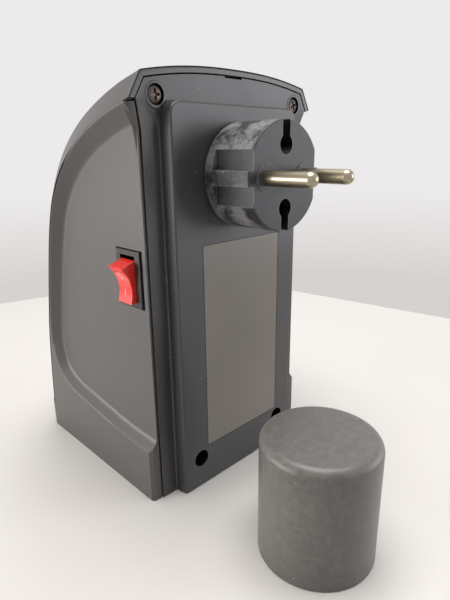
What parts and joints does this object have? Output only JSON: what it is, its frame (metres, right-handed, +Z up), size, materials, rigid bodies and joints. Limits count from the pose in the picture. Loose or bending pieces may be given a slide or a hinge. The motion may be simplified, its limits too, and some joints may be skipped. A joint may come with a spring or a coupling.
{
  "type": "plug-in fan heater",
  "caption": "Small fan heater that hangs on its own round-pin mains plug, with a curved hood, front outlet grille, side rocker switch, display with buttons and a separate plug cap.",
  "frame": {"origin": "On the floor, under the middle of the heater's base, halfway between its front foot and the face of its back plate.", "axes": "+Z is up, -Y is the side of the outlet grille, +Y is the side of the plug, +X is the side wall with the rocker switch."},
  "size_m": [0.0871, 0.1592, 0.1513],
  "materials": {
    "shell_plastic": "moulded, fine texture, dark grey",
    "front_shell_plastic": "moulded, satin, dark grey",
    "back_shell_plastic": "moulded, fine texture, dark grey",
    "plug_plastic": "moulded, scuffed",
    "retainer_plastic": "moulded",
    "pin_nickel": "nickel plated",
    "terminal_brass": "stamped",
    "screw_steel": "dark plated",
    "shaft_steel": "ground",
    "label_film": "bare plastic film",
    "cap_plastic": "moulded, scuffed",
    "switch_plastic": "moulded, black",
    "rocker_plastic": "translucent red, polished",
    "grille_plastic": "moulded, black",
    "lens_plastic": "smoked, polished",
    "digit_plastic": "moulded",
    "board_laminate": "solder mask",
    "component_plastic": "moulded",
    "button_rubber": "moulded",
    "blower_plastic": "moulded",
    "motor_steel": "drawn and zinc plated",
    "wheel_plastic": "moulded",
    "frame_resin": "heat resistant, moulded",
    "element_aluminium": "rolled fins",
    "duct_resin": "heat resistant, moulded",
    "relay_plastic": "moulded, blue",
    "capacitor_film": "wrapped film, yellow"
  },
  "bodies": {
    "root": {"air_duct": "duct_resin", "back_cover": "back_shell_plastic", "blower_inlet_plate": "blower_plastic", "blower_scroll": "blower_plastic", "bottom_screw_left": "screw_steel", "bottom_screw_right": "screw_steel", "control_board": "board_laminate", "display_lens": "lens_plastic", "fan_motor": "motor_steel", "film_capacitor": "capacitor_film", "front_cover": "front_shell_plastic", "heater_frame": "frame_resin", "heater_terminal_left": "terminal_brass", "heater_terminal_right": "terminal_brass", "heating_element": "element_aluminium", "led_display": "digit_plastic", "main_housing": "shell_plastic", "outlet_grille": "grille_plastic", "power_board": "board_laminate", "power_relay": "relay_plastic", "rating_label": "label_film", "switch_housing": "switch_plastic", "switch_terminal_1": "terminal_brass", "switch_terminal_2": "terminal_brass", "tact_switch_1": "component_plastic", "tact_switch_2": "component_plastic", "tact_switch_3": "component_plastic", "tact_switch_4": "component_plastic", "thermal_cutout": "motor_steel", "top_screw_left": "screw_steel", "top_screw_right": "screw_steel"},
    "rocker": {"rocker": "rocker_plastic"},
    "plug": {"plug_body": "plug_plastic", "plug_pin_left": "pin_nickel", "plug_pin_right": "pin_nickel", "plug_retainer": "retainer_plastic", "pin_lug_left": "terminal_brass", "pin_lug_right": "terminal_brass"},
    "fan": {"impeller": "wheel_plastic", "motor_shaft": "shaft_steel"},
    "cap": {"plug_cap": "cap_plastic"},
    "button_1_body": {"button_1": "button_rubber"},
    "button_2_body": {"button_2": "button_rubber"},
    "button_3_body": {"button_3": "button_rubber"},
    "button_4_body": {"button_4": "button_rubber"}
  },
  "joints": [
    {"name": "rocker_switch", "type": "hinge", "parent": "root", "child": "rocker", "pos_m": [0.0348, 0.029, 0.0844], "axis": [0, 1, 0], "range_deg": [-26, 0]},
    {"name": "plug_swivel", "type": "hinge", "parent": "root", "child": "plug", "pos_m": [0, 0.0448, 0.117], "axis": [0, 1, 0], "range_deg": [-90, 90]},
    {"name": "fan_spin", "type": "hinge", "parent": "root", "child": "fan", "pos_m": [0, 0.012, 0.066], "axis": [1, 0, 0], "continuous": true},
    {"name": "button_1_press", "type": "slide", "parent": "root", "child": "button_1_body", "axis": [0, 0.5446, -0.8387], "range_m": [0, 0.0006], "stiffness_N_per_m": 300},
    {"name": "button_2_press", "type": "slide", "parent": "root", "child": "button_2_body", "axis": [0, 0.5446, -0.8387], "range_m": [0, 0.0006], "stiffness_N_per_m": 300},
    {"name": "button_3_press", "type": "slide", "parent": "root", "child": "button_3_body", "axis": [0, 0.5446, -0.8387], "range_m": [0, 0.0006], "stiffness_N_per_m": 300},
    {"name": "button_4_press", "type": "slide", "parent": "root", "child": "button_4_body", "axis": [0, 0.5446, -0.8387], "range_m": [0, 0.0006], "stiffness_N_per_m": 300},
    {"name": "cap_lift", "type": "slide", "parent": "root", "child": "cap", "axis": [0, 0, 1], "range_m": [0, 0.055]}
  ]
}
